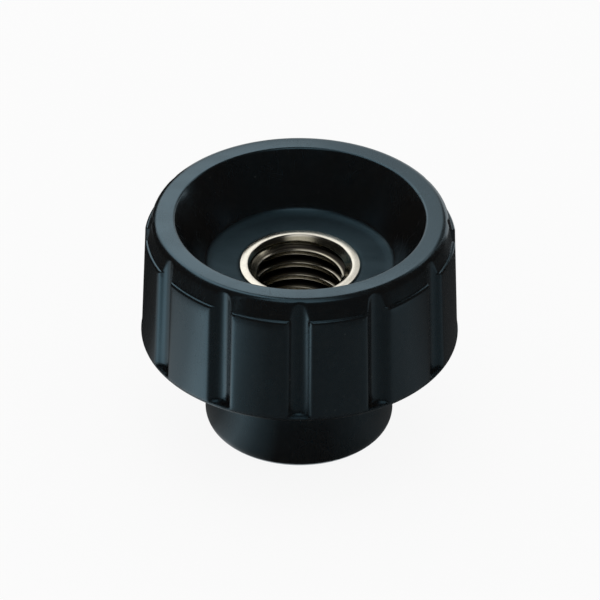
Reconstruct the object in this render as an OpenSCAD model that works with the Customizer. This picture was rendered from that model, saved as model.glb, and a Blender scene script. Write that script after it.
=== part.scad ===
// Fluted clamping knob: a deep-cupped moulded body on a threaded brass bush.
// The knob stands on its hub. The origin is the middle of the hub's end face,
// +Z runs up the axis to the rim, and one flute faces -Y.

/* [Skirt] */
// Diameter of the skirt at its foot, the widest place
knob_d = 32; // [28:0.5:48]
// Height from the hub's end face to the rim
knob_h = 24.2; // [20:0.2:34]
// Lean of the skirt's side from upright, in degrees
skirt_draft = 2; // [0.5:0.1:3]
// Rounding of the skirt's lower edge
skirt_edge = 0.4; // [0.1:0.05:0.45]

/* [Shoulder and rim] */
// Distance from the rim down to the top of the grip pads
shoulder_h = 2.1; // [1.5:0.05:4]
// Width of the sloping shoulder, from the pads in to the flat rim
shoulder_w = 1.15; // [0.8:0.05:3]
// Rounding between the shoulder and the flat rim
shoulder_round = 0.8; // [0.2:0.1:1.2]
// Height by which the pads stand proud of the shoulder
pad_step = 0.3; // [0.3:0.05:0.6]
// Rounding of the pads' top edge
pad_edge = 0.25; // [0.05:0.05:0.25]
// Width of the flat rim, from the shoulder in to the cup
rim_w = 1.35; // [0.4:0.05:3]

/* [Cup] */
// Depth of the cup
cup_depth = 5.75; // [3:0.05:7]
// Lean of the cup's wall from upright, in degrees
cup_slope = 30; // [5:1:32]
// Fillet between the cup's wall and its floor
cup_fillet = 1.2; // [0.4:0.1:1.6]
// Rounding of the cup's mouth
cup_lip = 0.3; // [0.1:0.05:0.5]

/* [Flutes] */
// Number of flutes around the skirt
flute_count = 12; // [6:1:18]
// Radius of a flute's round bottom
flute_r = 1.3; // [0.9:0.1:2]
// Depth of a flute below the pads
flute_depth = 0.8; // [0.4:0.05:1.2]
// Rounding of the pads' upright edges
flute_edge = 0.3; // [0.1:0.05:0.5]
// Thickness of the lip that closes the flutes at the skirt's foot
flute_lip = 0.5; // [0.5:0.1:2]

/* [Hub] */
// Diameter of the hub
hub_d = 19; // [16:0.2:24]
// Height of the hub below the skirt
hub_h = 10.4; // [5:0.2:13]
// Rounding of the hub's lower edge
hub_round = 1.6; // [0.5:0.1:2]
// Amount faced off the rounded end to leave a flat foot
hub_faced = 0.3; // [0.1:0.1:0.4]
// Fillet between the hub and the skirt's underside
hub_root = 0.8; // [0.3:0.1:1.5]

/* [Threaded bush] */
// Diameter of the bush
bush_d = 12.2; // [11.6:0.1:14.6]
// Diameter of the bore, the tapping size of an M10 x 1.5 thread
bore_d = 8.5; // [6:0.1:8.7]
// Diameter of the countersink at each end of the bore
countersink_d = 10.5; // [9:0.1:11]
// Height by which the bush stands proud of the cup's floor
bush_proud = 0.15; // [0.05:0.05:0.5]
// Height of the plain collar at each end of the bush
collar_h = 1.6; // [1:0.1:3]
// Number of teeth in each knurled band
knurl_teeth = 24; // [16:1:36]
// Depth of the knurl
knurl_depth = 0.35; // [0.2:0.05:0.45]
// Width of the groove that keeps the bush from being pulled out
groove_w = 3; // [1:0.5:5]
// Depth of that groove
groove_depth = 0.5; // [0.46:0.02:0.6]

/* [Hidden] */
$fn = 96;

PHENOLIC_BLACK = "#202428";
BRASS = "#c8a455";
past = 1; // how far a cutting shape runs past what it cuts
edge_past = 0.01; // how far a flute's edge rounding crosses the pads, for a clean cut

// Point at a given angle and distance from another point
function polar(centre, radius, angle) = centre + radius * [cos(angle), sin(angle)];

skirt_r = knob_d / 2;
hub_r = hub_d / 2;
bush_r = bush_d / 2;
bore_r = bore_d / 2;

// The shoulder slopes in from the pads' top and meets its rounding at a tangent
pad_top_z = knob_h - shoulder_h;
pad_top_r = skirt_r - (pad_top_z - hub_h) * tan(skirt_draft);
shoulder_foot = [pad_top_r - pad_step, pad_top_z];
shoulder_c = [shoulder_foot.x - shoulder_w, knob_h - shoulder_round];
shoulder_run = shoulder_foot - shoulder_c;
shoulder_angle = atan2(shoulder_run.y, shoulder_run.x) + acos(shoulder_round / norm(shoulder_run));

// Centres of the roundings at the skirt's foot, the pads' top and the hub's end
foot_c = [skirt_r - skirt_edge * (1 + sin(skirt_draft)) / cos(skirt_draft), hub_h + skirt_edge];
pad_c = [pad_top_r - pad_edge * (1 - sin(skirt_draft)) / cos(skirt_draft), pad_top_z - pad_edge];
hub_c = [hub_r - hub_round, hub_round - hub_faced];
hub_foot_r = hub_c.x + sqrt(hub_round * hub_round - hub_c.y * hub_c.y);

// The cup's wall leans out from its fillet at the floor to its lip at the mouth
floor_z = knob_h - cup_depth;
mouth_c = [shoulder_c.x - rim_w, knob_h - cup_lip];
mouth_r = mouth_c.x - cup_lip * (1 - sin(cup_slope)) / cos(cup_slope);
fillet_z = floor_z + cup_fillet;
fillet_c = [mouth_r - (cup_fillet + (knob_h - fillet_z) * sin(cup_slope)) / cos(cup_slope), fillet_z];
wall_angle = 180 - cup_slope;

// A flute is a round groove that leans with the skirt's side, and its edges are
// rounded by circles that touch the groove and run out on the pads
flute_foot_z = hub_h + flute_lip;
flute_pad_r = skirt_r - flute_lip * tan(skirt_draft);
flute_c = flute_pad_r - flute_depth + flute_r;
edge_from_axis = flute_pad_r - flute_edge + edge_past;
edge_from_groove = flute_r + flute_edge;
edge_u = (pow(edge_from_axis, 2) - pow(edge_from_groove, 2) + pow(flute_c, 2)) / (2 * flute_c);
edge_v = sqrt(pow(edge_from_axis, 2) - edge_u * edge_u);
edge_out = 1 + past / edge_from_axis;

// The bush reaches from the hub's end face to just above the cup's floor
bush_h = floor_z + bush_proud;
groove_z = (bush_h - groove_w) / 2;
countersink_h = (countersink_d - bore_d) / 2;

// Outside of the moulding, from the axis outwards
module body_outline() {
    intersection() {
        union() {
            polygon([
                [0, 0],
                [hub_foot_r, 0],
                [hub_r, hub_c.y],
                [hub_r, hub_h],
                [foot_c.x, hub_h],
                polar(foot_c, skirt_edge, skirt_draft),
                polar(pad_c, pad_edge, skirt_draft),
                [pad_c.x, pad_top_z],
                shoulder_foot,
                polar(shoulder_c, shoulder_round, shoulder_angle),
                [shoulder_c.x, knob_h],
                [0, knob_h],
            ]);
            translate(hub_c) circle(hub_round);
            translate(foot_c) circle(skirt_edge);
            translate(pad_c) circle(pad_edge);
            translate(shoulder_c) circle(shoulder_round);
            difference() {
                translate([hub_r, hub_h - hub_root]) square(hub_root);
                translate([hub_r + hub_root, hub_h - hub_root]) circle(hub_root);
            }
        }
        square([skirt_r, knob_h]);
    }
}

// Hollow of the cup, open above the rim
module cup_outline() {
    difference() {
        union() {
            polygon([
                [0, floor_z],
                [fillet_c.x, floor_z],
                polar(fillet_c, cup_fillet, -cup_slope),
                polar(mouth_c, cup_lip, wall_angle),
                mouth_c,
                [mouth_c.x, knob_h + past],
                [0, knob_h + past],
            ]);
            translate(fillet_c) circle(cup_fillet);
        }
        translate(mouth_c) circle(cup_lip);
    }
}

// Section of a flute, with X outwards from the knob's axis
module flute_outline() {
    translate([flute_c, 0]) circle(flute_r);
    difference() {
        polygon([
            [flute_c, 0],
            [edge_u, edge_v],
            [edge_u, edge_v] * edge_out,
            [edge_u, -edge_v] * edge_out,
            [edge_u, -edge_v],
        ]);
        for (side = [-1, 1]) translate([edge_u, side * edge_v]) circle(flute_edge);
    }
}

// The flutes stop on the lip at the foot, and run out over the shoulder
module flutes() {
    for (i = [0 : flute_count - 1])
        rotate(i * 360 / flute_count - 90)
            translate([flute_pad_r, 0, flute_foot_z])
                rotate([0, -skirt_draft, 0])
                    linear_extrude(knob_h - flute_foot_z + past)
                        translate([-flute_pad_r, 0]) flute_outline();
}

// Straight knurl, with its tips just inside the collars
module knurl_outline() {
    tip_r = bush_r - 0.05;
    polygon([
        for (i = [0 : 2 * knurl_teeth - 1])
            polar([0, 0], tip_r - (i % 2) * knurl_depth, i * 180 / knurl_teeth)
    ]);
}

// Outside of the bush: collars at the ends, knurl between them, groove at the middle.
// The moulding is cast around this same shape.
module bush_outside() {
    cylinder(h = bush_h, r = bush_r - groove_depth);
    for (z = [0, bush_h - collar_h])
        translate([0, 0, z]) cylinder(h = collar_h, r = bush_r);
    for (z = [collar_h, groove_z + groove_w])
        translate([0, 0, z]) linear_extrude(groove_z - collar_h) knurl_outline();
}

module bush_bore() {
    translate([0, 0, -past]) cylinder(h = bush_h + 2 * past, r = bore_r);
    cylinder(h = countersink_h, r1 = bore_r + countersink_h, r2 = bore_r);
    translate([0, 0, bush_h - countersink_h])
        cylinder(h = countersink_h, r1 = bore_r, r2 = bore_r + countersink_h);
}

module knob_body() {
    color(PHENOLIC_BLACK)
        difference() {
            rotate_extrude()
                difference() {
                    body_outline();
                    cup_outline();
                }
            flutes();
            bush_outside();
        }
}

module threaded_bush() {
    color(BRASS)
        difference() {
            bush_outside();
            bush_bore();
        }
}

knob_body();
threaded_bush();
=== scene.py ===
# %% [markdown]
# # A fluted clamping knob
#
# A small hand knob for jigs and clamps. The black body is moulded in phenolic
# round a turned brass bush, which carries an M10 thread right through. Two
# pieces make the whole object, so everything here is about form and finish:
# a cup with a flat rim, a rounded shoulder, twelve grip pads parted by twelve
# round-bottomed flutes, and real thread turns inside the bush.

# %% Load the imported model
import math

import bmesh
import bpy
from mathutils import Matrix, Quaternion, Vector


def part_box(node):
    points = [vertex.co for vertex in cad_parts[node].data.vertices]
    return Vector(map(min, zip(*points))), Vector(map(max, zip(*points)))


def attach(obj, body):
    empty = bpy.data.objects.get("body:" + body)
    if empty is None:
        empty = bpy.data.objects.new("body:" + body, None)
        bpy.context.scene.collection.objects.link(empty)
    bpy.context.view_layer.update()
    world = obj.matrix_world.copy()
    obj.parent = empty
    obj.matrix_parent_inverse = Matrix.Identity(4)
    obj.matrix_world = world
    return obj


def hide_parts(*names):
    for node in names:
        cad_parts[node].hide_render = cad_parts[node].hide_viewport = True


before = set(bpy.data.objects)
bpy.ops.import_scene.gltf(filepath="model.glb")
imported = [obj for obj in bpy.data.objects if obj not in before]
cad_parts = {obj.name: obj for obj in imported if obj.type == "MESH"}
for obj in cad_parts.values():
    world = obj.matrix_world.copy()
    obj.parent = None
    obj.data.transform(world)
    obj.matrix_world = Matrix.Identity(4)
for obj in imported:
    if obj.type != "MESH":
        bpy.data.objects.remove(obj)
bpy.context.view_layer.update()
MM = 0.001


# %% [markdown]
# ## Sizes
#
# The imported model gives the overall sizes: how tall the body is, and how wide
# and tall the bush is. The skirt's radius is written out instead, because the
# rounding of its edge makes the model's box a little narrower. The finer sizes
# are the designer's own: wall angles, roundings and widths. They are written
# once, in millimetres, and every piece below works its shape out from them.

# %% Sizes from the frame
body_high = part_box("knob_body")[1]
bush_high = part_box("threaded_bush")[1]
KNOB_H = body_high.z / MM
BUSH_R = bush_high.x / MM
BUSH_H = bush_high.z / MM
print("knob", round(KNOB_H, 2), "mm high; bush", round(2 * BUSH_R, 2), "mm wide")

# %% Finer sizes of the moulding
DRAFT = math.radians(2)        # lean of the skirt's side
SKIRT_R = 16.0                 # at the skirt's foot
SKIRT_EDGE = 0.4
HUB_R, HUB_H = 9.5, 10.4
HUB_ROUND, HUB_FACED, HUB_ROOT = 1.6, 0.3, 0.8
SHOULDER_H, SHOULDER_W, SHOULDER_ROUND = 2.1, 1.15, 0.8
PAD_STEP, PAD_EDGE = 0.3, 0.25
RIM_W = 1.35
CUP_DEPTH, CUP_FILLET, CUP_LIP = 5.75, 1.2, 0.3
CUP_SLOPE = math.radians(30)
SEAM = 0.1                     # rounding where the moulding meets the brass

PAD_TOP_Z = KNOB_H - SHOULDER_H
PAD_TOP_R = SKIRT_R - (PAD_TOP_Z - HUB_H) * math.tan(DRAFT)
BAND_R = PAD_TOP_R - PAD_STEP  # the shoulder's foot, just inside the pads
FLOOR_Z = KNOB_H - CUP_DEPTH
print("pads end", round(PAD_TOP_Z, 2), "mm up; the cup's floor is at", round(FLOOR_Z, 2))

# %% Finer sizes of the bush
COUNTERSINK_R = 5.25           # at the end faces
CREST_R, ROOT_R = 4.25, 5.0    # of the thread
print("the bush's bright face is", round(BUSH_R - COUNTERSINK_R, 2), "mm wide")


# %% [markdown]
# ## Camera
#
# A long lens from well back keeps the round forms from swelling towards the
# viewer. The camera looks down at about 35 degrees, which shows the cup, the
# bush and the pads at once. It is made first, because the rest of the scene is
# judged through it.

# %% Camera
CAMERA_LIFT = math.radians(35.5)
CAMERA_DISTANCE = 800.0        # from the origin, in mm
CAMERA_ROLL = math.radians(0.4)
VIEW_WIDTH = 61.04             # width of what is seen at the knob, in mm
AIM = Vector((0.03, 0.0, 14.15))

place = CAMERA_DISTANCE * Vector((0.0, -math.cos(CAMERA_LIFT), math.sin(CAMERA_LIFT)))
back = (place - AIM).normalized()
camera_data = bpy.data.cameras.new("camera")
camera_data.sensor_width = 36.0
camera_data.lens = camera_data.sensor_width * CAMERA_DISTANCE / VIEW_WIDTH
camera_data.clip_start, camera_data.clip_end = 0.05, 20.0
camera = bpy.data.objects.new("camera", camera_data)
camera.location = place * MM
camera.rotation_mode = "QUATERNION"
camera.rotation_quaternion = Quaternion(back, CAMERA_ROLL) @ (-back).to_track_quat("-Z", "Y")
bpy.context.scene.collection.objects.link(camera)
bpy.context.scene.camera = camera
print("lens", round(camera_data.lens), "mm")


# %% [markdown]
# ## Drawing a section
#
# Nearly every surface of the knob was turned or moulded in the round. Such a
# form is a section drawn once and spun about the axis. The section is a list
# of corners and arcs. The arcs come from one small helper, so each rounding is
# a centre, a radius and two angles, as on a workshop drawing.

# %% Arcs and straight stretches
def arc(centre, radius, start, end, steps):
    """Points on an arc, with the angles in degrees."""
    angles = [math.radians(start + (end - start) * i / steps) for i in range(steps + 1)]
    return [(centre[0] + radius * math.cos(a), centre[1] + radius * math.sin(a)) for a in angles]


def line(start, end, steps):
    """Points inside a straight stretch, without its ends."""
    shares = [i / steps for i in range(1, steps)]
    return [(start[0] + (end[0] - start[0]) * s, start[1] + (end[1] - start[1]) * s) for s in shares]


# %% Turning a section about the axis
def stand_section(bm, section, turn, closed):
    """Puts a section of (radius, height) points upright, at a turn from the -Y side."""
    x, y = math.sin(turn), -math.cos(turn)
    verts = [bm.verts.new((r * x, r * y, z)) for r, z in section]
    ends = verts[1:] + verts[:1] if closed else verts[1:]
    return verts + [bm.edges.new(pair) for pair in zip(verts, ends)]


def turn_section(bm, section, angle, steps, turn=0.0, climb=0.0, closed=False):
    """Spins a section through an angle, and raises it by climb on the way."""
    meets_itself = climb == 0 and math.isclose(angle, 2 * math.pi)
    bmesh.ops.spin(
        bm, geom=stand_section(bm, section, turn, closed), cent=(0, 0, 0), axis=(0, 0, 1),
        angle=angle, steps=steps, dvec=(0, 0, climb / steps), use_merge=meets_itself,
    )


# %% Making a finished piece
def finish_piece(bm, name, material):
    """Turns a bmesh drawn in millimetres into a smooth piece of the knob."""
    bmesh.ops.scale(bm, vec=(MM, MM, MM), verts=bm.verts)
    bmesh.ops.recalc_face_normals(bm, faces=bm.faces)
    for face in bm.faces:
        face.smooth = True
    mesh = bpy.data.meshes.new(name)
    bm.to_mesh(mesh)
    bm.free()
    mesh.materials.append(material)
    piece = bpy.data.objects.new(name, mesh)
    bpy.context.scene.collection.objects.link(piece)
    print(name, "has", len(mesh.polygons), "faces")
    return piece


# %% [markdown]
# ## Materials from nodes
#
# Each finish is worked out from the place of a point on the piece, so there
# are no image files to stretch or lose. Small helpers keep the node code short.
# One adds a node and wires it, and the others build on it: a sum, a smooth
# ramp, noise, a mix of two colours, and a point's place on the piece.

# %% Helpers for nodes: adding, sums and ramps
def add_node(tree, kind, inputs=None, **settings):
    """Adds a shader node. Its inputs are values, or sockets of other nodes to link."""
    node = tree.nodes.new("ShaderNode" + kind)
    for name, value in settings.items():
        setattr(node, name, value)
    for name, value in (inputs or {}).items():
        if isinstance(value, bpy.types.NodeSocket):
            tree.links.new(value, node.inputs[name])
        else:
            node.inputs[name].default_value = value
    return node


def calculate(tree, operation, a, b=0.0):
    return add_node(tree, "Math", {0: a, 1: b}, operation=operation).outputs[0]


def ramp(tree, value, start, end, low=0.0, high=1.0):
    """Goes smoothly from low to high while a value goes from start to end."""
    inputs = {"Value": value, "From Min": start, "From Max": end, "To Min": low, "To Max": high}
    return add_node(tree, "MapRange", inputs, interpolation_type="SMOOTHSTEP").outputs["Result"]


def mix_colour(tree, share, first, second):
    """Mixes two colours, by a share that may be a value or a socket."""
    inputs = {"Factor": share, 6: first, 7: second}
    return add_node(tree, "Mix", inputs, data_type="RGBA").outputs[2]


# %% Helpers for nodes: places and noise
def noise(tree, place, scale, detail=2.0, roughness=0.5, distortion=0.0):
    inputs = {"Vector": place, "Scale": scale, "Detail": detail, "Roughness": roughness,
              "Distortion": distortion}
    return add_node(tree, "TexNoise", inputs).outputs["Fac"]


def object_place(tree):
    """The place of a point in metres from the origin."""
    return add_node(tree, "TexCoord").outputs["Object"]


def turned_place(tree):
    """Radius and height of a point in metres, as two values."""
    place = object_place(tree)
    flat = add_node(tree, "VectorMath", {0: place, 1: (1, 1, 0)}, operation="MULTIPLY").outputs[0]
    radius = add_node(tree, "VectorMath", {0: flat}, operation="LENGTH").outputs["Value"]
    return radius, add_node(tree, "SeparateXYZ", {"Vector": place}).outputs["Z"]


# %% A new node group with named sockets
def new_group(name, inputs, output):
    """Makes a shader node group with number inputs and one number output."""
    group = bpy.data.node_groups.new(name, "ShaderNodeTree")
    for socket, default in inputs.items():
        made = group.interface.new_socket(socket, in_out="INPUT", socket_type="NodeSocketFloat")
        made.default_value = default
    group.interface.new_socket(output, in_out="OUTPUT", socket_type="NodeSocketFloat")
    return group, group.nodes.new("NodeGroupInput").outputs, group.nodes.new("NodeGroupOutput")


def place_group(tree, group, **values):
    """Places a group in a material with its own values, and gives its output."""
    node = add_node(tree, "Group", node_tree=group)
    for name, value in values.items():
        node.inputs[name.replace("_", " ")].default_value = value
    return node.outputs[0]


# %% [markdown]
# ### Turning marks
#
# A lathe tool leaves fine rings on whatever it cuts: on the brass itself, and
# on the steel mould, which prints them faintly on the plastic. A ring keeps the
# same radius and height all the way round. So noise that is read at (radius,
# height), and not at (x, y, z), gives rings on flat faces, cones and cylinders
# alike. A wave texture would need a direction for each face.

# %% Group: turning marks
turning_marks, given, out = new_group("turning_marks", {"Spacing": 0.2}, "Height")
radius, height = turned_place(turning_marks)
ring_place = add_node(turning_marks, "CombineXYZ", {"X": radius, "Y": height}).outputs[0]
rings = noise(turning_marks, ring_place, calculate(turning_marks, "DIVIDE", 1000, given["Spacing"]))
turning_marks.links.new(rings, out.inputs[0])
print(turning_marks.name, "gives", out.inputs[0].name)


# %% [markdown]
# ### Worn edges
#
# Handling and the tumbling barrel polish the edges first. The Bevel node looks
# at the surface nearby and gives the direction it would face if its edges were
# rounder. Where that differs from the real direction, there is an edge. This
# follows the twelve flutes and the rims without a hand-drawn mask.

# %% Group: worn edges
worn_edges, given, out = new_group("worn_edges", {"Reach": 0.2, "Start": 0.02, "Full": 0.15}, "Mask")
reach = calculate(worn_edges, "MULTIPLY", given["Reach"], MM)
rounder = add_node(worn_edges, "Bevel", {"Radius": reach}, samples=6).outputs[0]
facing = add_node(worn_edges, "NewGeometry").outputs["Normal"]
same = add_node(worn_edges, "VectorMath", {0: rounder, 1: facing}, operation="DOT_PRODUCT")
turned_away = calculate(worn_edges, "SUBTRACT", 1.0, same.outputs["Value"])
edge = ramp(worn_edges, turned_away, given["Start"], given["Full"])
uneven = noise(worn_edges, object_place(worn_edges), 900.0, 3.0)
patchy = ramp(worn_edges, uneven, 0.35, 0.65, 0.25, 1.0)
worn_edges.links.new(calculate(worn_edges, "MULTIPLY", edge, patchy), out.inputs[0])
print(worn_edges.name, "gives", out.inputs[0].name)


# %% [markdown]
# ### Smudges and hairline scratches
#
# Clean gloss is never even: there are soft smudges a few millimetres wide, and
# hairlines that only show where light runs across them. Smudges are stretched
# noise. A hairline is the thin contour where noise crosses its middle value;
# stretching the noise first makes the contours long and nearly straight.

# %% Group: smudges
smudges, given, out = new_group("smudges", {"Size": 4.0}, "Mask")
stretched = add_node(smudges, "Mapping", {"Vector": object_place(smudges), "Rotation": (0.5, 0.3, 0.7),
                                          "Scale": (1.0, 1.8, 0.8)}).outputs[0]
cloudy = noise(smudges, stretched, calculate(smudges, "DIVIDE", 1000, given["Size"]), 4.0, 0.6, 0.4)
smudges.links.new(ramp(smudges, cloudy, 0.38, 0.68), out.inputs[0])
print(smudges.name, "gives", out.inputs[0].name)

# %% Group: hairlines
hairlines, given, out = new_group("hairlines", {"Length": 6.0, "Width": 0.012}, "Mask")
lines = []
for turn, along in (((0.2, 0.4, 0.3), (1, 14, 3)), ((0.9, 0.1, 1.9), (12, 1, 2))):
    laid = add_node(hairlines, "Mapping", {"Vector": object_place(hairlines), "Rotation": turn,
                                           "Scale": along}).outputs[0]
    wavy = noise(hairlines, laid, calculate(hairlines, "DIVIDE", 1000, given["Length"]), 1.0)
    off_middle = calculate(hairlines, "ABSOLUTE", calculate(hairlines, "SUBTRACT", wavy, 0.5))
    lines.append(ramp(hairlines, off_middle, 0.0, given["Width"], 1.0, 0.0))
both = calculate(hairlines, "MAXIMUM", *lines)
some = ramp(hairlines, noise(hairlines, object_place(hairlines), 260.0), 0.5, 0.62)
hairlines.links.new(calculate(hairlines, "MULTIPLY", both, some), out.inputs[0])
print(hairlines.name, "gives", out.inputs[0].name)


# %% [markdown]
# ## Black phenolic
#
# Phenolic is a hard resin filled with fine wood flour, pressed hot in a
# polished mould. Its skin is nearly pure resin, so it is glossy, with a slight
# orange peel. The body colour is a warm near-black. The blue specular tint and
# coat tint are painted light: they give the sheen the colour of a cool light.
# A thin coat stands for the harder gloss that hands give. Below the skin the
# flour shows as a faint mottle and a few paler flecks.
# The cup's floor was formed by the face of the core pin, which is left finely
# blasted, so it is duller than the rest and has no coat.

# %% Phenolic: colour
phenolic = bpy.data.materials.new("phenolic")
phenolic.use_nodes = True
tree = phenolic.node_tree
place = object_place(tree)
radius, height = turned_place(tree)
mottle = ramp(tree, noise(tree, place, 1400.0, 3.0, 0.6), 0.4, 0.7)
resin = mix_colour(tree, mottle, (0.0082, 0.0062, 0.0052, 1), (0.0102, 0.0080, 0.0066, 1))
fleck_dots = add_node(tree, "TexVoronoi", {"Vector": place, "Scale": 1100.0}).outputs
fleck_size = ramp(tree, fleck_dots["Distance"], 0.05, 0.16, 1.0, 0.0)
few = ramp(tree, add_node(tree, "SeparateColor", {"Color": fleck_dots["Color"]}).outputs[0], 0.90, 0.93)
flecks = calculate(tree, "MULTIPLY", fleck_size, few)
resin = mix_colour(tree, flecks, resin, (0.028, 0.025, 0.021, 1))
phenolic_edges = place_group(tree, worn_edges, Reach=0.22, Start=0.012, Full=0.11)
worn_colour = calculate(tree, "MULTIPLY", phenolic_edges, 0.35)
resin = mix_colour(tree, worn_colour, resin, (0.024, 0.026, 0.028, 1))
print("phenolic: mottle, flecks and worn edges")

# %% Phenolic: gloss
PHENOLIC_GLOSS, BLASTED = 0.20, 0.56
phenolic_smudges = place_group(tree, smudges, Size=5.0)
phenolic_hairlines = place_group(tree, hairlines, Length=7.0, Width=0.010)
below_wall = ramp(tree, height, (FLOOR_Z + 0.5) * MM, (FLOOR_Z + 0.05) * MM)
above_underside = ramp(tree, height, (FLOOR_Z - 1.0) * MM, (FLOOR_Z - 0.2) * MM)
cup_floor = calculate(tree, "MULTIPLY", below_wall, above_underside)
cup_floor = calculate(tree, "MULTIPLY", cup_floor, ramp(tree, radius, 12.2 * MM, 10.0 * MM))
roughness = calculate(tree, "ADD", PHENOLIC_GLOSS, calculate(tree, "MULTIPLY", phenolic_smudges, 0.07))
roughness = calculate(tree, "ADD", roughness, calculate(tree, "MULTIPLY", phenolic_edges, 0.10))
roughness = calculate(tree, "ADD", roughness, calculate(tree, "MULTIPLY", phenolic_hairlines, 0.12))
blasted_more = calculate(tree, "MULTIPLY", cup_floor, BLASTED - PHENOLIC_GLOSS)
roughness = calculate(tree, "ADD", roughness, blasted_more)
coat = ramp(tree, cup_floor, 0.0, 1.0, 0.20, 0.0)
print("phenolic: gloss", PHENOLIC_GLOSS, "and cup floor", BLASTED)

# %% [markdown]
# A moulded skin is never quite flat. It has an orange peel a couple of
# millimetres across, the grain of the flour, and faint rings from the turned
# mould, each a few thousandths of a millimetre high or less. Modelling them
# would take millions of faces, so a Bump node tilts the shading instead.

# %% Phenolic: fine relief, with heights in millimetres
peel = calculate(tree, "MULTIPLY", noise(tree, place, 520.0, 1.0), 0.0045)
grain = calculate(tree, "MULTIPLY", noise(tree, place, 4200.0, 2.0), 0.0006)
mould_rings = calculate(tree, "MULTIPLY", place_group(tree, turning_marks, Spacing=0.35), 0.0016)
blast = calculate(tree, "MULTIPLY", noise(tree, place, 7000.0, 2.0), 0.004)
relief = calculate(tree, "ADD", calculate(tree, "ADD", peel, grain), mould_rings)
relief = calculate(tree, "ADD", relief, calculate(tree, "MULTIPLY", blast, cup_floor))
relief = calculate(tree, "SUBTRACT", relief, calculate(tree, "MULTIPLY", phenolic_hairlines, 0.0008))
print("phenolic: orange peel, grain, mould rings and blasting")

# %% [markdown]
# Tumbling takes the flash off a moulded knob, and rounds the upright edges of
# the pads a little more than the mould did. Modelling that would thin the pads,
# and it is only seen in how the gloss rolls over. So a Bevel node turns the
# shading as a wider rounding would. It fades to almost nothing just below the
# pads' top, because the small step there stays crisp. The fine relief is laid
# on top of it.

# %% Phenolic: rounder edges, and the finished shader
edge_reach = ramp(tree, height, (PAD_TOP_Z - 0.7) * MM, (PAD_TOP_Z - 0.4) * MM, 0.6 * MM, 0.1 * MM)
softer = add_node(tree, "Bevel", {"Radius": edge_reach}, samples=8).outputs[0]
bump = add_node(tree, "Bump", {"Height": relief, "Distance": MM, "Strength": 1.0, "Normal": softer})
shader = tree.nodes["Principled BSDF"]
for name, socket in (("Base Color", resin), ("Roughness", roughness), ("Coat Weight", coat),
                     ("Normal", bump.outputs["Normal"])):
    tree.links.new(socket, shader.inputs[name])
shader.inputs["IOR"].default_value = 1.78
# Painted light: the blue specular and coat tints give every reflection the colour of a cool light.
shader.inputs["Specular Tint"].default_value = (0.38, 0.78, 1.0, 1)
shader.inputs["Coat Roughness"].default_value = 0.10
shader.inputs["Coat Tint"].default_value = (0.80, 0.94, 1.0, 1)
print("phenolic has", len(tree.nodes), "nodes")


# %% [markdown]
# ## Turned brass
#
# Free-cutting brass is pale when fresh from the tool, and dulls to olive brown
# where no hand or tap rubs it. So the faced ring is bright with fine rings, the
# countersink is duller, and the crests shine. The roots of the thread are
# painted near black from about a millimetre into the bore, as painted shade.
# Radius and height alone tell these places apart.

# %% Brass: colour
brass = bpy.data.materials.new("brass")
brass.use_nodes = True
tree = brass.node_tree
place = object_place(tree)
radius, height = turned_place(tree)
FRESH, DULL = (0.70, 0.665, 0.58, 1), (0.42, 0.38, 0.27, 1)
# Near-black painted shade for the roots of the thread inside the bore.
ROOT_SHADE = (0.045, 0.040, 0.034, 1)
tarnish = ramp(tree, noise(tree, place, 420.0, 4.0, 0.6), 0.42, 0.72, 0.0, 0.35)
metal = mix_colour(tree, tarnish, FRESH, DULL)
below_face = ramp(tree, height, (BUSH_H - 0.03) * MM, (BUSH_H - 0.25) * MM)
in_mouth = ramp(tree, radius, (COUNTERSINK_R + 0.05) * MM, (COUNTERSINK_R - 0.05) * MM)
inside = calculate(tree, "MULTIPLY", in_mouth, below_face)
unrubbed = ramp(tree, radius, (CREST_R + 0.07) * MM, (CREST_R + 0.20) * MM, 0.3, 0.8)
metal = mix_colour(tree, calculate(tree, "MULTIPLY", inside, unrubbed), metal, DULL)
# Painted shade: below about a millimetre from the top face, the roots of the thread are painted near
# black.
root_depth = ramp(tree, radius, (CREST_R + 0.07) * MM, (CREST_R + 0.30) * MM)
deep = ramp(tree, height, (BUSH_H - 0.75) * MM, (BUSH_H - 1.15) * MM)
painted_root_shade = calculate(tree, "MULTIPLY", calculate(tree, "MULTIPLY", root_depth, deep), inside)
metal = mix_colour(tree, painted_root_shade, metal, ROOT_SHADE)
brass_edges = place_group(tree, worn_edges, Reach=0.12, Start=0.02, Full=0.20)
metal = mix_colour(tree, calculate(tree, "MULTIPLY", brass_edges, 0.5), metal, (0.84, 0.77, 0.62, 1))
print("brass: fresh, dull and oily places")

# %% Brass: gloss and relief
brass_smudges = place_group(tree, smudges, Size=2.5)
brass_hairlines = place_group(tree, hairlines, Length=3.0, Width=0.014)
roughness = calculate(tree, "ADD", 0.15, calculate(tree, "MULTIPLY", brass_smudges, 0.06))
roughness = calculate(tree, "ADD", roughness, calculate(tree, "MULTIPLY", painted_root_shade, 0.20))
tool_rings = calculate(tree, "MULTIPLY", place_group(tree, turning_marks, Spacing=0.16), 0.0010)
relief = calculate(tree, "SUBTRACT", tool_rings, calculate(tree, "MULTIPLY", brass_hairlines, 0.0008))
bump = add_node(tree, "Bump", {"Height": relief, "Distance": MM, "Strength": 1.0})

shader = tree.nodes["Principled BSDF"]
for name, socket in (("Base Color", metal), ("Roughness", roughness),
                     ("Normal", bump.outputs["Normal"])):
    tree.links.new(socket, shader.inputs[name])
shader.inputs["Metallic"].default_value = 1.0
print("brass has", len(tree.nodes), "nodes")


# %% [markdown]
# ## The moulded body
#
# The body is cast round the bush, so its bore has the shape of the bush's
# outside: plain collars at the ends, straight knurl between them, and a groove
# round the middle that keeps the bush from being pulled out. These sizes are
# shared by both pieces.

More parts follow.
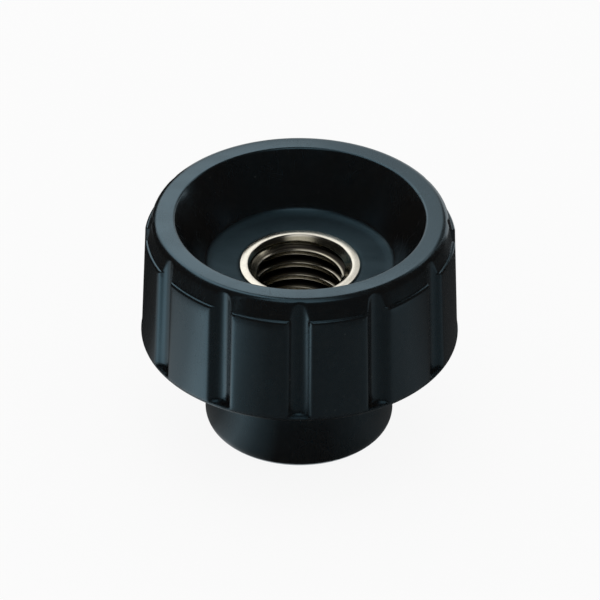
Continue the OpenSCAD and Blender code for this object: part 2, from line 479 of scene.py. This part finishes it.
# %% The bush's outside, which the moulding is cast around
COLLAR_H = 1.6
KNURL_TEETH, KNURL_DEPTH = 24, 0.35
GROOVE_W, GROOVE_DEPTH = 3.0, 0.5
GROOVE_Z = (BUSH_H - GROOVE_W) / 2
TIP_R = BUSH_R - 0.05


def knurled_radius(turn, z):
    """Radius of the bush's outside in its two knurled bands, and None elsewhere."""
    if COLLAR_H < z < GROOVE_Z or GROOVE_Z + GROOVE_W < z < BUSH_H - COLLAR_H:
        share = turn / (2 * math.pi) * KNURL_TEETH % 1
        return TIP_R - KNURL_DEPTH * (1 - abs(2 * share - 1))
    return None


def bush_steps():
    """Corners of the bush's outside below its top face, from the top down."""
    waist, top, hair = BUSH_R - GROOVE_DEPTH, BUSH_H - COLLAR_H, 0.01
    return [
        (BUSH_R, top), (TIP_R, top - hair), (TIP_R, GROOVE_Z + GROOVE_W + hair),
        (waist, GROOVE_Z + GROOVE_W), (waist, GROOVE_Z), (TIP_R, GROOVE_Z - hair),
        (TIP_R, COLLAR_H + hair), (BUSH_R, COLLAR_H),
    ]


print("the bush's groove is", GROOVE_W, "mm wide, from", round(GROOVE_Z, 2), "mm up")

# %% Centres of the roundings
hub_c = (HUB_R - HUB_ROUND, HUB_ROUND - HUB_FACED)
hub_start = -math.degrees(math.asin(hub_c[1] / HUB_ROUND))
root_c = (HUB_R + HUB_ROOT, HUB_H - HUB_ROOT)
foot_c = (SKIRT_R - SKIRT_EDGE * (1 + math.sin(DRAFT)) / math.cos(DRAFT), HUB_H + SKIRT_EDGE)
pad_c = (PAD_TOP_R - PAD_EDGE * (1 - math.sin(DRAFT)) / math.cos(DRAFT), PAD_TOP_Z - PAD_EDGE)
shoulder_c = (BAND_R - SHOULDER_W, KNOB_H - SHOULDER_ROUND)
mouth_c = (shoulder_c[0] - RIM_W, KNOB_H - CUP_LIP)
mouth_r = mouth_c[0] - CUP_LIP * (1 - math.sin(CUP_SLOPE)) / math.cos(CUP_SLOPE)
fillet_z = FLOOR_Z + CUP_FILLET
fillet_c = (
    mouth_r - (CUP_FILLET + (KNOB_H - fillet_z) * math.sin(CUP_SLOPE)) / math.cos(CUP_SLOPE),
    fillet_z,
)

# The shoulder's slope meets its rounding at a tangent
run = (SHOULDER_W, PAD_TOP_Z - shoulder_c[1])
lean = math.acos(SHOULDER_ROUND / math.hypot(*run))
shoulder_turn = math.degrees(math.atan2(run[1], run[0]) + lean)
print("the shoulder leans", round(shoulder_turn, 1), "degrees")
print("the cup is", round(2 * mouth_r, 2), "mm wide")


# %% [markdown]
# The flutes stop on a thin lip at the skirt's foot. To leave points for that
# ledge, the section has a few extra ones close together just there. They lie
# on the plain side where there is a pad, and fold into a ledge where there is
# a flute.

# %% The section, from the bore's foot round the outside and back
LIP_Z = HUB_H + 0.5            # top of the lip that closes the flutes
LEDGE_BELOW, LEDGE_ABOVE, LEDGE_ROWS = 0.12, 0.18, 10
slope, draft = math.degrees(CUP_SLOPE), math.degrees(DRAFT)


def side_at(z):
    """A point of the skirt's side at a height."""
    return (SKIRT_R - (z - HUB_H) * math.tan(DRAFT), z)


ledge_rows = [i / LEDGE_ROWS for i in range(LEDGE_ROWS + 1)]
ledge = [side_at(LIP_Z - LEDGE_BELOW + (LEDGE_BELOW + LEDGE_ABOVE) * share) for share in ledge_rows]
pad_top = arc(pad_c, PAD_EDGE, draft, 90, 4)
shoulder = arc(shoulder_c, SHOULDER_ROUND, shoulder_turn, 90, 14)
cup_mouth = arc(mouth_c, CUP_LIP, 90, 180 - slope, 6)
cup_fillet = arc(fillet_c, CUP_FILLET, -slope, -90, 10)
bore_r = BUSH_R + SEAM

hub_part = (
    arc((bore_r, SEAM), SEAM, 180, 270, 4) + line((bore_r, 0), (hub_c[0] + 1, 0), 3)
    + arc(hub_c, HUB_ROUND, hub_start, 0, 14)
    + line((HUB_R, hub_c[1]), (HUB_R, root_c[1]), 6) + arc(root_c, HUB_ROOT, 180, 90, 8)
)
skirt_part = (
    line((root_c[0], HUB_H), (foot_c[0], HUB_H), 8) + arc(foot_c, SKIRT_EDGE, -90, draft, 6)
    + ledge + line(ledge[-1], pad_top[0], 10) + pad_top
)
top_part = (
    [(BAND_R, PAD_TOP_Z)] + line((BAND_R, PAD_TOP_Z), shoulder[0], 14) + shoulder
    + line(shoulder[-1], cup_mouth[0], 3) + cup_mouth
)
cup_part = (
    line(cup_mouth[-1], cup_fillet[0], 8) + cup_fillet + line(cup_fillet[-1], (bore_r, FLOOR_Z), 5)
    + arc((bore_r, FLOOR_Z - SEAM), SEAM, 90, 180, 4)
)
body_section = hub_part + skirt_part + top_part + cup_part + bush_steps()
print("the body's section has", len(body_section), "points")


# %% [markdown]
# ## Flutes
#
# In the mould the flutes are twelve round ribs that lean with the skirt's
# draft, so that the knob comes out. Here one twelfth of the body is spun from
# the section, and its points are moved in to the flute's surface. Then the
# twelfth is copied round. A Boolean with twelve cutters would also do it, but
# it leaves long thin faces that show as streaks in a glossy black surface.
# Moving the points keeps an even grid, so the reflections stay clean. The
# pads' upright edges are rounded by half a millimetre, which is what a thumb
# expects of a grip.

# %% Section of one flute, seen from above
FLUTES = 12
FLUTE_R, FLUTE_DEPTH, FLUTE_EDGE = 1.3, 0.8, 0.5
HALF_SECTOR = math.pi / FLUTES

pad_r = side_at(LIP_Z)[0]
groove_c = pad_r - FLUTE_DEPTH + FLUTE_R
edge_far = pad_r - FLUTE_EDGE
edge_x = (edge_far**2 - (FLUTE_R + FLUTE_EDGE) ** 2 + groove_c**2) / (2 * groove_c)
edge_angle = math.acos(edge_x / edge_far)
edge_y = edge_far * math.sin(edge_angle)
touch_share = FLUTE_R / (FLUTE_R + FLUTE_EDGE)
touch_angle = math.atan2(edge_y * touch_share, groove_c + (edge_x - groove_c) * touch_share)


def groove_radius(angle, z):
    """Distance from the axis to the flute's surface, at an angle from the flute's middle."""
    angle = abs(angle)
    inwards = (z - LIP_Z) * math.tan(DRAFT)
    if angle <= touch_angle:
        reach = FLUTE_R**2 - (groove_c * math.sin(angle)) ** 2
        return groove_c * math.cos(angle) - math.sqrt(reach) - inwards
    if angle < edge_angle:
        off = angle - edge_angle
        reach = FLUTE_EDGE**2 - (edge_far * math.sin(off)) ** 2
        return edge_far * math.cos(off) + math.sqrt(reach) - inwards
    return math.inf


print("a flute is", round(2 * edge_far * math.sin(edge_angle), 2), "mm wide, edges included")

# %% Columns of points, close together in the flute
COLUMNS_IN_FLUTE, COLUMNS_IN_PAD = 14, 6     # on each side of the flute's middle
COLUMNS = 2 * (COLUMNS_IN_FLUTE + COLUMNS_IN_PAD)


def column_angle(share):
    """Where a column goes, while share runs from 0 at the flute to 1 at the pad's middle."""
    k = share * COLUMNS / 2
    if k <= COLUMNS_IN_FLUTE:
        return edge_angle * k / COLUMNS_IN_FLUTE
    return edge_angle + (HALF_SECTOR - edge_angle) * (k - COLUMNS_IN_FLUTE) / COLUMNS_IN_PAD


print(COLUMNS, "columns in a twelfth of the body")


# %% How the flute meets the lip
LEDGE_EDGE, LEDGE_FILLET = 0.08, 0.2
EDGE_SHARE, FLAT_SHARE = 0.3, 0.3      # of the ledge's rows; the rest are for the fillet
NEAR = 1e-4


def fold_ledge(radius, depth, z):
    """Folds a short stretch of the side into the flat ledge at a flute's foot."""
    share = (z - LIP_Z + LEDGE_BELOW) / (LEDGE_BELOW + LEDGE_ABOVE)
    fit = min(1, depth / (LEDGE_EDGE + LEDGE_FILLET))
    edge, fillet = LEDGE_EDGE * fit, LEDGE_FILLET * fit
    past_edge = share - EDGE_SHARE
    past_flat = past_edge - FLAT_SHARE
    if past_edge < 0:
        a = share / EDGE_SHARE * math.pi / 2
        inwards, height = edge * (1 - math.cos(a)), LIP_Z - edge + edge * math.sin(a)
    elif past_flat < 0:
        inwards, height = edge + (depth - edge - fillet) * past_edge / FLAT_SHARE, LIP_Z
    else:
        a = past_flat / (1 - EDGE_SHARE - FLAT_SHARE) * math.pi / 2
        inwards, height = depth - fillet + fillet * math.sin(a), LIP_Z + fillet * (1 - math.cos(a))
    return radius - inwards, z + (height - z) * fit


print("a flute is", round(pad_r - groove_radius(0, LIP_Z), 2), "mm deep where it meets the lip")

# %% How the flute meets the shoulder
SHOULDER_BLEND = 0.16


def smooth_min(a, b, blend):
    """The smaller of two values, with the corner between them rounded off."""
    gap = max(blend - abs(a - b), 0)
    return min(a, b) - gap * gap / (4 * blend)


def fluted_point(radius, angle, z):
    """Where a point of the plain body goes once the flute is cut."""
    groove = groove_radius(angle, max(z, LIP_Z))
    if z < LIP_Z + LEDGE_ABOVE + NEAR:
        return fold_ledge(radius, radius - groove, z) if radius > groove else (radius, z)
    if z > PAD_TOP_Z:
        return smooth_min(radius, groove, SHOULDER_BLEND), z
    return min(radius, groove), z


print("a flute is", round(PAD_TOP_R - groove_radius(0, PAD_TOP_Z), 2), "mm deep at the pads' top")

# %% One twelfth of the body, then all twelve
bm = bmesh.new()
turn_section(bm, body_section, 2 * HALF_SECTOR, COLUMNS, turn=-HALF_SECTOR, closed=True)
for v in bm.verts:
    radius, z = math.hypot(v.co.x, v.co.y), v.co.z
    share = max(-1, min(math.atan2(v.co.x, -v.co.y) / HALF_SECTOR, 1))
    angle = math.copysign(column_angle(abs(share)), share)
    if radius > shoulder_c[0] and z > LIP_Z - LEDGE_BELOW - NEAR:
        radius, z = fluted_point(radius, angle, z)
    if radius < BUSH_R:
        radius = knurled_radius(angle, z) or radius
    v.co = (radius * math.sin(angle), -radius * math.cos(angle), z)
twelfth = bm.verts[:] + bm.edges[:] + bm.faces[:]
bmesh.ops.spin(
    bm, geom=twelfth, cent=(0, 0, 0), axis=(0, 0, 1), angle=2 * math.pi * (FLUTES - 1) / FLUTES,
    steps=FLUTES - 1, use_duplicate=True,
)
bmesh.ops.remove_doubles(bm, verts=bm.verts, dist=NEAR)
print("the body is", FLUTES, "copies of one sector, with", len(bm.faces), "faces in all")

# %% The body as a piece
moulded_body = finish_piece(bm, "moulded_body", phenolic)
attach(moulded_body, "root")
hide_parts("knob_body")

# %% [markdown]
# ## The threaded bush
#
# The bush is turned from brass bar: bored, countersunk at both ends and tapped
# M10. A thread is one groove section carried round the axis while it climbs a
# pitch for each turn, which is what the spin operator does when it is given a
# step along the axis. One turn is spun, and the rest are copies of it a pitch
# apart. Bump can't stand in for it, because the turns show in the mouth of the
# bore, each with its own highlight.

# %% Section of the thread
PITCH = 1.5
THREAD_START = 1.30            # brings a crest just below the upper countersink
THREAD_STEPS = 144
CREST_ROUND, ROOT_ROUND = 0.09, 0.08

crest_z, root_z = -PITCH / 8, -PITCH / 2 + PITCH / 16
half_thread = (
    [(ROOT_R, -PITCH / 2)]
    + arc((ROOT_R - ROOT_ROUND, root_z), ROOT_ROUND, 0, 60, 2)
    + line((ROOT_R - ROOT_ROUND, root_z + 0.07), (CREST_R + 0.07, crest_z - 0.05), 9)
    + arc((CREST_R + CREST_ROUND, crest_z + 0.02), CREST_ROUND, 240, 180, 3)
    + [(CREST_R, 0)]
)
thread_section = half_thread + [(r, -z) for r, z in reversed(half_thread[:-1])]
print("the thread's section has", len(thread_section), "points")

# %% One turn of the thread, then all of them
turns = math.ceil(BUSH_H / PITCH) + 2
first = THREAD_START - 1.5 * PITCH
bm = bmesh.new()
raised = [(r, z + first) for r, z in thread_section]
turn_section(bm, raised, 2 * math.pi, THREAD_STEPS, turn=math.pi, climb=PITCH)
one_turn = bm.verts[:] + bm.edges[:] + bm.faces[:]
for i in range(1, turns):
    copy = bmesh.ops.duplicate(bm, geom=one_turn)["geom"]
    verts = [v for v in copy if isinstance(v, bmesh.types.BMVert)]
    bmesh.ops.translate(bm, vec=(0, 0, i * PITCH), verts=verts)
bmesh.ops.remove_doubles(bm, verts=bm.verts, dist=NEAR)
print(turns, "turns of thread, with", len(bm.faces), "faces")

# %% Cut to length, and countersunk at both ends
END = 0.05                     # rounding where a countersink meets the end face
MOUTH_BLEND = 0.10             # rounding where the thread runs out on the countersink
for z, outwards in ((END, (0, 0, -1)), (BUSH_H - END, (0, 0, 1))):
    bmesh.ops.bisect_plane(
        bm, geom=bm.verts[:] + bm.edges[:] + bm.faces[:], dist=1e-5, plane_co=(0, 0, z),
        plane_no=outwards, clear_outer=True,
    )
for v in bm.verts:
    radius = math.hypot(v.co.x, v.co.y)
    cone = COUNTERSINK_R - min(v.co.z, BUSH_H - v.co.z)
    wider = -smooth_min(-radius, -cone, MOUTH_BLEND)
    v.co.x, v.co.y = v.co.x * wider / radius, v.co.y * wider / radius
print("countersinks are", 2 * COUNTERSINK_R, "mm wide")


# %% The faced ends and the outside
def grow_ring(bm, edges, points):
    """Extrudes a ring of edges to each (radius, height) in turn, and returns the last ring."""
    for radius, z in points:
        grown = bmesh.ops.extrude_edge_only(bm, edges=edges)["geom"]
        edges = [e for e in grown if isinstance(e, bmesh.types.BMEdge)]
        for v in [v for v in grown if isinstance(v, bmesh.types.BMVert)]:
            r, to = math.hypot(v.co.x, v.co.y), radius
            if radius < BUSH_R:
                to = knurled_radius(math.atan2(v.co.x, -v.co.y), z) or radius
            v.co = (v.co.x * to / r, v.co.y * to / r, z)
    return edges


def open_ring(bm, z):
    return [e for e in bm.edges if e.is_boundary and all(abs(v.co.z - z) < 1e-3 for v in e.verts)]


mouth = arc((COUNTERSINK_R + 0.04, BUSH_H - 0.06), 0.06, 135, 90, 2)[1:]
corner = arc((BUSH_R - 0.12, BUSH_H - 0.12), 0.12, 90, 0, 4)
outside = mouth + corner + bush_steps() + [(BUSH_R, 0.1), (BUSH_R - 0.1, 0)]
top_ring = grow_ring(bm, open_ring(bm, BUSH_H - END), outside)
foot = [(COUNTERSINK_R + 0.03, 0.01), (COUNTERSINK_R + 0.1, 0)]
bottom_ring = grow_ring(bm, open_ring(bm, END), foot)
bmesh.ops.bridge_loops(bm, edges=top_ring + bottom_ring)
print("the bush is closed, with", len(bm.faces), "faces")

# %% The bush as a piece
brass_bush = finish_piece(bm, "brass_bush", brass)
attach(brass_bush, "root")
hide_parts("threaded_bush")

# %% [markdown]
# ## Light
#
# Glossy black shows only what it reflects. So the light is built from what the
# surfaces should mirror: a large softbox behind and above for the rim and the
# brass ring, a weak one at the left, and one overhead that gives the soft
# shadow under the knob. The world gives an even fill.

# %% Softboxes
def softbox(name, place, width, height, radiance, colour=(1, 1, 1)):
    """Hangs a soft lamp at a place in mm, turned towards the knob."""
    data = bpy.data.lights.new(name, "AREA")
    data.shape = "RECTANGLE"
    data.size, data.size_y = width * MM, height * MM
    data.energy = radiance * math.pi * data.size * data.size_y
    data.color = colour
    lamp = bpy.data.objects.new(name, data)
    lamp.location = Vector(place) * MM
    lamp.rotation_mode = "QUATERNION"
    lamp.rotation_quaternion = (Vector((0, 0, 15)) - Vector(place)).to_track_quat("-Z", "Y")
    bpy.context.scene.collection.objects.link(lamp)
    print(name, "at", place)


softbox("back_softbox", (-90, 440, 370), 400, 260, 0.52, (0.97, 0.99, 1.0))
softbox("left_softbox", (-330, 120, 260), 240, 160, 0.4, (0.97, 0.99, 1.0))
softbox("top_softbox", (0, 60, 520), 300, 300, 0.6)


# %% [markdown]
# ## Floor and background
#
# The knob stands on a plain white floor that runs out of sight. The floor and
# the world show white to the camera and in reflections, while the floor keeps
# part of its own shading, so a soft shadow stays under the knob.

# %% World
def seen_directly(tree):
    """1 for rays from the camera, from a glossy surface or through glass, and 0 for the rest."""
    path = add_node(tree, "LightPath").outputs
    seen = calculate(tree, "MAXIMUM", path["Is Camera Ray"], path["Is Glossy Ray"])
    return calculate(tree, "MAXIMUM", seen, path["Is Transmission Ray"])


FILL = 0.6
world = bpy.data.worlds.new("studio")
world.use_nodes = True
bpy.context.scene.world = world
tree = world.node_tree
strength = ramp(tree, seen_directly(tree), 0.0, 1.0, FILL, 1.0)
background = tree.nodes["Background"]
tree.links.new(strength, background.inputs["Strength"])
background.inputs["Color"].default_value = (1, 1, 1, 1)
print("the world shows white, and fills the shade with", FILL)

# %% Floor
SHOWN_WHITE = 0.90             # the rest is the floor's own shading
floor_white = bpy.data.materials.new("floor_white")
floor_white.use_nodes = True
tree = floor_white.node_tree
matt = tree.nodes["Principled BSDF"]
matt.inputs["Base Color"].default_value = (0.97, 0.97, 0.97, 1)
matt.inputs["Roughness"].default_value = 0.9
matt.inputs["Specular IOR Level"].default_value = 0.0
glow = add_node(tree, "Emission", {"Color": (1, 1, 1, 1), "Strength": 1.0})
share = calculate(tree, "MULTIPLY", seen_directly(tree), SHOWN_WHITE)
mixed = add_node(tree, "MixShader", {0: share, 1: matt.outputs[0], 2: glow.outputs[0]})
tree.links.new(mixed.outputs[0], tree.nodes["Material Output"].inputs["Surface"])

bm = bmesh.new()
bmesh.ops.create_grid(bm, x_segments=2, y_segments=2, size=3.0)
floor_mesh = bpy.data.meshes.new("floor")
bm.to_mesh(floor_mesh)
bm.free()
floor_mesh.materials.append(floor_white)
floor = bpy.data.objects.new("floor", floor_mesh)
bpy.context.scene.collection.objects.link(floor)
print("floor laid")


# %% [markdown]
# ## Cards
#
# A glossy black thing on white looks grey, because it mirrors the white all
# round. A studio puts cards close to it, just outside the view: dark ones to
# hold the black, and pale ones where a surface should catch light. Two lie
# round the foot, and are pale at the left front, where the pads, the flutes and
# the hub mirror them. Tall dark ones curve round the left, the front and the
# right. Paler ones stand behind and even out the rim, between a low dark one
# and a high one. A lid closes the top, and is lighter at the front for the
# countersink and the thread, and at the left back for the pads' top edges. Some
# pale places serve the side and back views alone: the back of the foot card,
# and a low strip all round that is light and dark by turns, so that the skirt
# looks round from there too. Each card may change its shade round the knob.
# Only glossy rays see them, so they throw no shadow and never hide the knob.
# The cards are not lit: each glows with a set brightness, so what the knob
# mirrors of them is painted reflection.

# %% Glowing paper that fades round the knob
def glowing_card_paper(name, shades):
    """Makes a glowing paper from (turn, brightness) pairs that it fades through on the way round; its
    glow is seen only in reflections.
    """
    paper = bpy.data.materials.new(name)
    paper.use_nodes = True
    tree = paper.node_tree
    place = add_node(tree, "SeparateXYZ", {"Vector": object_place(tree)}).outputs
    turn = calculate(tree, "ARCTAN2", place["X"], calculate(tree, "MULTIPLY", place["Y"], -1.0))
    around = calculate(tree, "ADD", calculate(tree, "DIVIDE", turn, 2 * math.pi), 0.5)
    fade = add_node(tree, "ValToRGB", {"Fac": around})
    stops = fade.color_ramp.elements
    stops.remove(stops[1])
    for i, (at, shade) in enumerate(shades):
        stop = stops[0] if i == 0 else stops.new(at / 360 + 0.5)
        stop.position = at / 360 + 0.5
        stop.color = (shade, shade, shade, 1)
    # Emission: the card glows by itself instead of being lit, and the knob shows it as a painted
    # reflection.
    painted = add_node(tree, "Emission", {"Color": fade.outputs["Color"], "Strength": 1.0})
    tree.links.new(painted.outputs[0], tree.nodes["Material Output"].inputs["Surface"])
    return paper


# %% A card bent round the knob
CARD_STEPS = 60


def card(name, section, start, end, shades):
    """Bends a card round the knob, from one turn to another in degrees from the -Y side.

    The section is a list of (radius, height) points in mm.
    """
    bm = bmesh.new()
    turn_section(bm, section, math.radians(end - start), CARD_STEPS, turn=math.radians(start))
    bmesh.ops.scale(bm, vec=(MM, MM, MM), verts=bm.verts)
    mesh = bpy.data.meshes.new(name)
    bm.to_mesh(mesh)
    bm.free()
    mesh.materials.append(glowing_card_paper(name + "_paper", shades))
    made = bpy.data.objects.new(name, mesh)
    bpy.context.scene.collection.objects.link(made)
    made.visible_camera = made.visible_diffuse = made.visible_shadow = False
    made.visible_transmission = made.visible_volume_scatter = False
    print(name, "from", start, "to", end, "degrees")


# %% Shades, as (turn, brightness) pairs
UNDER_SKIRT = [(-180, 0.01), (-130, 0.04), (-100, 0.05), (-75, 0.15), (-52, 0.53), (-34, 0.20),
               (-16, 0.02), (20, 0.02), (60, 0.10), (120, 0.03), (180, 0.01)]
ROUND_FOOT = [(-180, 0.60), (-168, 0.40), (-157, 0.02), (-125, 0.02), (-108, 0.05), (-98, 0.20),
              (-88, 0.52), (-72, 0.66), (-62, 1.2), (-50, 1.2), (-42, 0.55), (-33, 0.25),
              (-20, 0.10), (-4, 0.08), (30, 0.10), (72, 0.18), (92, 0.06), (157, 0.02),
              (168, 0.40), (180, 0.60)]
LOW_STRIP = [(-180, 0.9), (-160, 0.6), (-142, 0.3), (-127, 0.03), (-78, 0.03), (-60, 0.25),
             (-45, 0.20), (-20, 0.03), (10, 0.12), (40, 0.03), (65, 0.35), (90, 0.03), (122, 0.03),
             (140, 0.6), (158, 0.10), (180, 0.9)]
LID = [(-180, 0.01), (-168, 0.01), (-156, 1.4), (-112, 1.4), (-100, 0.01), (-50, 0.01),
       (-25, 0.8), (25, 0.8), (50, 0.01), (180, 0.01)]
BEHIND_RIGHT_LOW = [(125, 0.9), (178, 0.8)]
BEHIND_RIGHT_HIGH = [(125, 0.05), (150, 0.15), (160, 0.7), (178, 0.8)]
BEHIND_LEFT = [(-180, 0.65), (-160, 0.80)]
DARK, LID_MIDDLE = [(0, 0.01)], [(0, 0.6)]

# %% The cards
card("under_card", [(9.2, 0.3), (18, 0.3)], -180, 180, UNDER_SKIRT)
card("foot_card", [(18, 0.3), (60, 0.3)], -180, 180, ROUND_FOOT)
card("low_strip", [(59, 0.3), (59, 9)], -180, 180, LOW_STRIP)
card("left_card", [(60, 0.3), (66, 60), (85, 130)], -125, -40, DARK)
card("far_left_card", [(60, 0.3), (64, 45)], -160, -125, DARK)
card("right_back_low", [(60, 8), (66, 40)], 125, 178, BEHIND_RIGHT_LOW)
card("right_back_high", [(66, 40), (72, 80)], 125, 178, BEHIND_RIGHT_HIGH)
card("left_back_card", [(60, 8), (70, 60)], 178, 200, BEHIND_LEFT)
card("back_card", [(60, 0.3), (60, 8)], 110, 200, DARK)
card("front_card", [(60, 0.3), (80, 30), (85, 130)], -40, 125, DARK)
card("valance", [(74, 104), (85, 130)], 125, 200, DARK)
card("lid", [(85, 130), (30, 175)], -180, 180, LID)
card("lid_middle", [(30, 175), (0.5, 177)], -180, 180, LID_MIDDLE)


# %% [markdown]
# ## Finish
#
# The plain view keeps the written colours.

# %% View
bpy.context.scene.view_settings.view_transform = "Standard"
